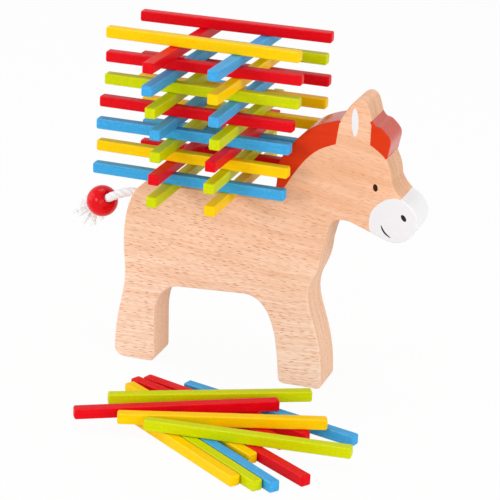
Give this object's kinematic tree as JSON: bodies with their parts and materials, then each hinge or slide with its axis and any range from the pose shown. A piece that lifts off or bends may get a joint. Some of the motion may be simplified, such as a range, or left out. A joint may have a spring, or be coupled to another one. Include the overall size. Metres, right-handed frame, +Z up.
{
  "type": "donkey balancing game",
  "caption": "Flat wooden donkey with a cord tail, square painted sticks stacked crosswise on its back and more sticks lying loose in front.",
  "frame": {"origin": "On the floor, under the middle of the box around the donkey, tower and heap, the tail left out.", "axes": "+X is where the donkey looks, +Y points away from the player and the heap, +Z is up."},
  "size_m": [0.2391, 0.2386, 0.2188],
  "materials": {
    "beech": "sanded beech, clear satin oil",
    "cotton_cord": "soft white cotton",
    "bead_lacquer": "high gloss red lacquer on wood",
    "red_stick_paint": "satin water-based colour on beech",
    "yellow_stick_paint": "satin water-based colour on beech",
    "green_stick_paint": "satin water-based colour on beech",
    "blue_stick_paint": "satin water-based colour on beech"
  },
  "bodies": {
    "donkey": {"donkey_body": "beech"},
    "tail": {"tail_cord": "cotton_cord", "tail_tuft": "cotton_cord"},
    "bead": {"tail_bead": "bead_lacquer"},
    "tower_01_left_green": {"tower_01_left_green": "green_stick_paint"},
    "tower_01_right_yellow": {"tower_01_right_yellow": "yellow_stick_paint"},
    "tower_02_near_blue": {"tower_02_near_blue": "blue_stick_paint"},
    "tower_02_far_red": {"tower_02_far_red": "red_stick_paint"},
    "tower_03_left_red": {"tower_03_left_red": "red_stick_paint"},
    "tower_03_right_green": {"tower_03_right_green": "green_stick_paint"},
    "tower_04_near_yellow": {"tower_04_near_yellow": "yellow_stick_paint"},
    "tower_04_far_blue": {"tower_04_far_blue": "blue_stick_paint"},
    "tower_05_left_green": {"tower_05_left_green": "green_stick_paint"},
    "tower_05_right_red": {"tower_05_right_red": "red_stick_paint"},
    "tower_06_near_blue": {"tower_06_near_blue": "blue_stick_paint"},
    "tower_06_far_yellow": {"tower_06_far_yellow": "yellow_stick_paint"},
    "tower_07_left_blue": {"tower_07_left_blue": "blue_stick_paint"},
    "tower_07_right_green": {"tower_07_right_green": "green_stick_paint"},
    "tower_08_near_red": {"tower_08_near_red": "red_stick_paint"},
    "tower_08_far_yellow": {"tower_08_far_yellow": "yellow_stick_paint"},
    "tower_09_left_green": {"tower_09_left_green": "green_stick_paint"},
    "tower_09_right_blue": {"tower_09_right_blue": "blue_stick_paint"},
    "tower_10_near_green": {"tower_10_near_green": "green_stick_paint"},
    "tower_10_far_red": {"tower_10_far_red": "red_stick_paint"},
    "tower_11_left_blue": {"tower_11_left_blue": "blue_stick_paint"},
    "tower_11_right_yellow": {"tower_11_right_yellow": "yellow_stick_paint"},
    "tower_12_near_red": {"tower_12_near_red": "red_stick_paint"},
    "tower_12_far_green": {"tower_12_far_green": "green_stick_paint"},
    "tower_13_left_red": {"tower_13_left_red": "red_stick_paint"},
    "tower_13_right_blue": {"tower_13_right_blue": "blue_stick_paint"},
    "tower_14_near_yellow": {"tower_14_near_yellow": "yellow_stick_paint"},
    "tower_14_far_red": {"tower_14_far_red": "red_stick_paint"},
    "heap_01_yellow": {"heap_01_yellow": "yellow_stick_paint"},
    "heap_02_green": {"heap_02_green": "green_stick_paint"},
    "heap_03_blue": {"heap_03_blue": "blue_stick_paint"},
    "heap_04_yellow": {"heap_04_yellow": "yellow_stick_paint"},
    "heap_05_red": {"heap_05_red": "red_stick_paint"},
    "heap_06_red": {"heap_06_red": "red_stick_paint"},
    "heap_07_red": {"heap_07_red": "red_stick_paint"},
    "heap_08_blue": {"heap_08_blue": "blue_stick_paint"},
    "heap_09_green": {"heap_09_green": "green_stick_paint"},
    "heap_10_red": {"heap_10_red": "red_stick_paint"},
    "heap_11_yellow": {"heap_11_yellow": "yellow_stick_paint"},
    "heap_12_green": {"heap_12_green": "green_stick_paint"}
  },
  "joints": [
    {"name": "tail_wag", "type": "hinge", "parent": "donkey", "child": "tail", "pos_m": [-0.08428, 0.05234, 0.1078], "axis": [0, 0, 1], "range_deg": [-25, 60], "stiffness_Nm_per_rad": 0.001, "deforming": ["tail_cord"]},
    {"name": "bead_spin", "type": "hinge", "parent": "tail", "child": "bead", "pos_m": [-0.11118, 0.06034, 0.096], "axis": [-0.6939, 0.5324, -0.4848], "continuous": true},
    {"name": "tower_01_left_green_slide", "type": "slide", "parent": "donkey", "child": "tower_01_left_green", "axis": [0, 1, 0], "range_m": [-0.025, 0.025]},
    {"name": "tower_01_right_yellow_slide", "type": "slide", "parent": "donkey", "child": "tower_01_right_yellow", "axis": [0, 1, 0], "range_m": [-0.025, 0.025]},
    {"name": "tower_02_near_blue_slide", "type": "slide", "parent": "donkey", "child": "tower_02_near_blue", "axis": [0.9998, -0.0175, 0], "range_m": [-0.019, 0.019]},
    {"name": "tower_02_far_red_slide", "type": "slide", "parent": "donkey", "child": "tower_02_far_red", "axis": [1, 0, 0], "range_m": [-0.019, 0.019]},
    {"name": "tower_03_left_red_slide", "type": "slide", "parent": "donkey", "child": "tower_03_left_red", "axis": [0.0087, 1, 0], "range_m": [-0.025, 0.025]},
    {"name": "tower_03_right_green_slide", "type": "slide", "parent": "donkey", "child": "tower_03_right_green", "axis": [0, 1, 0], "range_m": [-0.025, 0.025]},
    {"name": "tower_04_near_yellow_slide", "type": "slide", "parent": "donkey", "child": "tower_04_near_yellow", "axis": [0.9997, -0.0262, 0], "range_m": [-0.019, 0.019]},
    {"name": "tower_04_far_blue_slide", "type": "slide", "parent": "donkey", "child": "tower_04_far_blue", "axis": [1, 0, 0], "range_m": [-0.019, 0.019]},
    {"name": "tower_05_left_green_slide", "type": "slide", "parent": "donkey", "child": "tower_05_left_green", "axis": [0, 1, 0], "range_m": [-0.025, 0.025]},
    {"name": "tower_05_right_red_slide", "type": "slide", "parent": "donkey", "child": "tower_05_right_red", "axis": [0.0087, 1, 0], "range_m": [-0.025, 0.025]},
    {"name": "tower_06_near_blue_slide", "type": "slide", "parent": "donkey", "child": "tower_06_near_blue", "axis": [1, 0, 0], "range_m": [-0.019, 0.019]},
    {"name": "tower_06_far_yellow_slide", "type": "slide", "parent": "donkey", "child": "tower_06_far_yellow", "axis": [1, 0, 0], "range_m": [-0.019, 0.019]},
    {"name": "tower_07_left_blue_slide", "type": "slide", "parent": "donkey", "child": "tower_07_left_blue", "axis": [0, 1, 0], "range_m": [-0.025, 0.025]},
    {"name": "tower_07_right_green_slide", "type": "slide", "parent": "donkey", "child": "tower_07_right_green", "axis": [0.0087, 1, 0], "range_m": [-0.025, 0.025]},
    {"name": "tower_08_near_red_slide", "type": "slide", "parent": "donkey", "child": "tower_08_near_red", "axis": [1, -0.0087, 0], "range_m": [-0.019, 0.019]},
    {"name": "tower_08_far_yellow_slide", "type": "slide", "parent": "donkey", "child": "tower_08_far_yellow", "axis": [1, 0, 0], "range_m": [-0.019, 0.019]},
    {"name": "tower_09_left_green_slide", "type": "slide", "parent": "donkey", "child": "tower_09_left_green", "axis": [0.0087, 1, 0], "range_m": [-0.025, 0.025]},
    {"name": "tower_09_right_blue_slide", "type": "slide", "parent": "donkey", "child": "tower_09_right_blue", "axis": [0, 1, 0], "range_m": [-0.025, 0.025]},
    {"name": "tower_10_near_green_slide", "type": "slide", "parent": "donkey", "child": "tower_10_near_green", "axis": [1, 0, 0], "range_m": [-0.019, 0.019]},
    {"name": "tower_10_far_red_slide", "type": "slide", "parent": "donkey", "child": "tower_10_far_red", "axis": [1, 0, 0], "range_m": [-0.019, 0.019]},
    {"name": "tower_11_left_blue_slide", "type": "slide", "parent": "donkey", "child": "tower_11_left_blue", "axis": [0.0175, 0.9998, 0], "range_m": [-0.025, 0.025]},
    {"name": "tower_11_right_yellow_slide", "type": "slide", "parent": "donkey", "child": "tower_11_right_yellow", "axis": [0.0262, 0.9997, 0], "range_m": [-0.025, 0.025]},
    {"name": "tower_12_near_red_slide", "type": "slide", "parent": "donkey", "child": "tower_12_near_red", "axis": [0.9998, 0.0175, 0], "range_m": [-0.019, 0.019]},
    {"name": "tower_12_far_green_slide", "type": "slide", "parent": "donkey", "child": "tower_12_far_green", "axis": [1, 0, 0], "range_m": [-0.019, 0.019]},
    {"name": "tower_13_left_red_slide", "type": "slide", "parent": "donkey", "child": "tower_13_left_red", "axis": [0.0262, 0.9997, 0], "range_m": [-0.025, 0.025]},
    {"name": "tower_13_right_blue_slide", "type": "slide", "parent": "donkey", "child": "tower_13_right_blue", "axis": [0.0262, 0.9997, 0], "range_m": [-0.025, 0.025]},
    {"name": "tower_14_near_yellow_slide", "type": "slide", "parent": "donkey", "child": "tower_14_near_yellow", "axis": [0.9998, -0.0175, 0], "range_m": [-0.019, 0.019]},
    {"name": "tower_14_far_red_slide", "type": "slide", "parent": "donkey", "child": "tower_14_far_red", "axis": [0.9997, 0.0262, 0], "range_m": [-0.019, 0.019]},
    {"name": "heap_01_yellow_slide", "type": "slide", "parent": "donkey", "child": "heap_01_yellow", "axis": [0.809, -0.5878, 0], "range_m": [0, 0.04]},
    {"name": "heap_02_green_slide", "type": "slide", "parent": "donkey", "child": "heap_02_green", "axis": [0.809, -0.5878, 0], "range_m": [0, 0.04]},
    {"name": "heap_03_blue_slide", "type": "slide", "parent": "donkey", "child": "heap_03_blue", "axis": [0.809, -0.5878, 0], "range_m": [0, 0.04]},
    {"name": "heap_04_yellow_slide", "type": "slide", "parent": "donkey", "child": "heap_04_yellow", "axis": [0.8329, -0.5534, 0], "range_m": [0, 0.04]},
    {"name": "heap_05_red_slide", "type": "slide", "parent": "donkey", "child": "heap_05_red", "axis": [0.8329, -0.5534, 0], "range_m": [0, 0.04]},
    {"name": "heap_06_red_slide", "type": "slide", "parent": "donkey", "child": "heap_06_red", "axis": [0.9135, -0.4067, 0], "range_m": [0, 0.04]},
    {"name": "heap_07_red_slide", "type": "slide", "parent": "donkey", "child": "heap_07_red", "axis": [0.9438, -0.3305, 0], "range_m": [0, 0.04]},
    {"name": "heap_08_blue_slide", "type": "slide", "parent": "donkey", "child": "heap_08_blue", "axis": [0.9588, -0.284, 0], "range_m": [0, 0.04]},
    {"name": "heap_09_green_slide", "type": "slide", "parent": "donkey", "child": "heap_09_green", "axis": [0.8949, 0.4462, 0], "range_m": [0, 0.04]},
    {"name": "heap_10_red_slide", "type": "slide", "parent": "donkey", "child": "heap_10_red", "axis": [0.866, 0.5, 0], "range_m": [0, 0.04]},
    {"name": "heap_11_yellow_slide", "type": "slide", "parent": "donkey", "child": "heap_11_yellow", "axis": [0.9397, 0.342, 0], "range_m": [0, 0.04]},
    {"name": "heap_12_green_slide", "type": "slide", "parent": "donkey", "child": "heap_12_green", "axis": [0.9962, 0.0872, 0], "range_m": [0, 0.04]}
  ]
}
